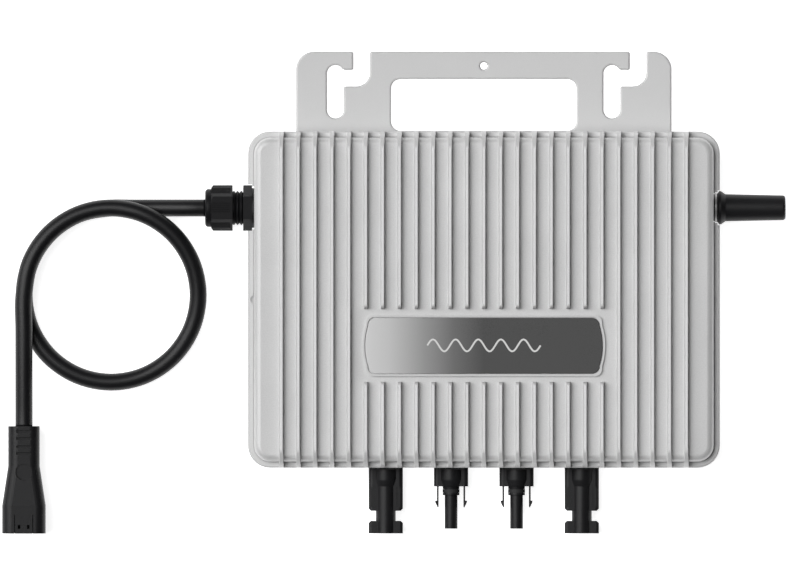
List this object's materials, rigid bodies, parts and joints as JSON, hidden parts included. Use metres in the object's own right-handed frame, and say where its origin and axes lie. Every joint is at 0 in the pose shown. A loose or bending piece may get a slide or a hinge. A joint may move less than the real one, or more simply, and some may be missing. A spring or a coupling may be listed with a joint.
{
  "type": "micro inverter",
  "caption": "Flat finned micro inverter housing with a hanging bracket, an AC output cable and plug, DC panel connectors and a stub antenna.",
  "frame": {"origin": "centre of the flat back face, on the surface the unit lies on", "axes": "+Z out of the finned face, +Y along the fins towards the bracket, +X towards the antenna"},
  "size_m": [0.4019, 0.2474, 0.033],
  "materials": {
    "cast_aluminium": "fine cast, powder-like satin",
    "tray_aluminium": "satin",
    "bracket_metal": "satin",
    "screw_steel": "satin",
    "black_rubber": "matte",
    "cable_rubber": "matte",
    "plate_gloss": "glossy",
    "tape": "matte",
    "label_film": "satin",
    "circuit_board": "satin",
    "brass": "satin",
    "ferrite": "matte",
    "copper_wire": "satin",
    "black_epoxy": "matte",
    "capacitor_film": "satin",
    "thermal_pad": "matte",
    "bar_aluminium": "satin",
    "terminal_green": "satin",
    "wire_jacket": "satin",
    "fuse_ceramic": "glossy",
    "black_plastic": "satin, fine grain",
    "gland_nylon": "matte, fine grain"
  },
  "bodies": {
    "inverter": {"heatsink_cover": "cast_aluminium", "back_tray": "tray_aluminium", "perimeter_gasket": "black_rubber", "case_screws": "screw_steel", "mounting_bracket": "bracket_metal", "bracket_screws": "screw_steel", "name_plate": "plate_gloss", "name_plate_tape": "tape", "rating_label": "label_film", "main_board": "circuit_board", "board_standoffs": "brass", "board_screws": "screw_steel", "transformer_cores": "ferrite", "transformer_windings": "copper_wire", "dc_capacitors": "black_epoxy", "film_capacitors": "capacitor_film", "choke_core": "ferrite", "choke_winding": "copper_wire", "power_transistors": "black_epoxy", "thermal_pads": "thermal_pad", "transistor_clamp_bar": "bar_aluminium", "clamp_screws": "screw_steel", "relays": "black_epoxy", "control_board": "circuit_board", "radio_module": "circuit_board", "ac_terminal_block": "terminal_green", "ac_leads": "wire_jacket", "fuse": "fuse_ceramic", "gland_body": "gland_nylon", "gland_gasket": "black_rubber", "gland_lock_nut": "gland_nylon", "cable_inner_end": "cable_rubber", "ac_cable": "cable_rubber", "plug_strain_relief": "black_plastic", "plug_shell": "black_plastic", "plug_insert": "black_plastic", "plug_contacts": "brass", "plug_seal": "black_rubber", "dc_socket_left": "black_plastic", "dc_socket_right": "black_plastic", "dc_plug_left": "black_plastic", "dc_plug_right": "black_plastic", "dc_pins": "brass", "dc_sleeves": "brass", "dc_seal_rings": "black_rubber", "dc_panel_nuts": "black_plastic", "dc_gaskets": "black_rubber", "dc_leads": "wire_jacket", "antenna_sleeve": "black_plastic", "antenna_washer": "screw_steel", "antenna_gasket": "black_rubber", "antenna_nut": "brass", "antenna_coax": "black_plastic"},
    "gland_sleeve": {"gland_seal": "black_rubber"},
    "clamp_nut": {"gland_clamp_nut": "gland_nylon"},
    "plug_latch_tongue": {"plug_latch": "black_plastic"},
    "left_plug_outer_arm": {"left_plug_outer_latch": "black_plastic"},
    "left_plug_inner_arm": {"left_plug_inner_latch": "black_plastic"},
    "right_plug_inner_arm": {"right_plug_inner_latch": "black_plastic"},
    "right_plug_outer_arm": {"right_plug_outer_latch": "black_plastic"}
  },
  "joints": [
    {"name": "gland_seal_travel", "type": "slide", "parent": "inverter", "child": "gland_sleeve", "axis": [-1, 0, 0], "range_m": [0, 0.003]},
    {"name": "gland_nut_turn", "type": "hinge", "parent": "gland_sleeve", "child": "clamp_nut", "pos_m": [-0.1355, 0.047, 0.0118], "axis": [-1, 0, 0], "range_deg": [0, 720]},
    {"name": "plug_latch_press", "type": "hinge", "parent": "inverter", "child": "plug_latch_tongue", "pos_m": [-0.236, -0.1105, 0.0215], "axis": [1, 0, 0], "range_deg": [0, 6], "stiffness_Nm_per_rad": 0.1},
    {"name": "left_outer_latch_squeeze", "type": "hinge", "parent": "inverter", "child": "left_plug_outer_arm", "pos_m": [-0.0236, -0.09495, 0.0097], "axis": [0, 0, 1], "range_deg": [0, 6], "stiffness_Nm_per_rad": 0.1},
    {"name": "left_inner_latch_squeeze", "type": "hinge", "parent": "inverter", "child": "left_plug_inner_arm", "pos_m": [-0.01, -0.09495, 0.0097], "axis": [0, 0, -1], "range_deg": [0, 6], "stiffness_Nm_per_rad": 0.1},
    {"name": "right_inner_latch_squeeze", "type": "hinge", "parent": "inverter", "child": "right_plug_inner_arm", "pos_m": [0.01, -0.09495, 0.0097], "axis": [0, 0, 1], "range_deg": [0, 6], "stiffness_Nm_per_rad": 0.1},
    {"name": "right_outer_latch_squeeze", "type": "hinge", "parent": "inverter", "child": "right_plug_outer_arm", "pos_m": [0.0236, -0.09495, 0.0097], "axis": [0, 0, -1], "range_deg": [0, 6], "stiffness_Nm_per_rad": 0.1}
  ],
  "couplings": [
    {"joint": "gland_seal_travel", "follows": "gland_nut_turn", "m_per_rad": 0.00023873}
  ]
}
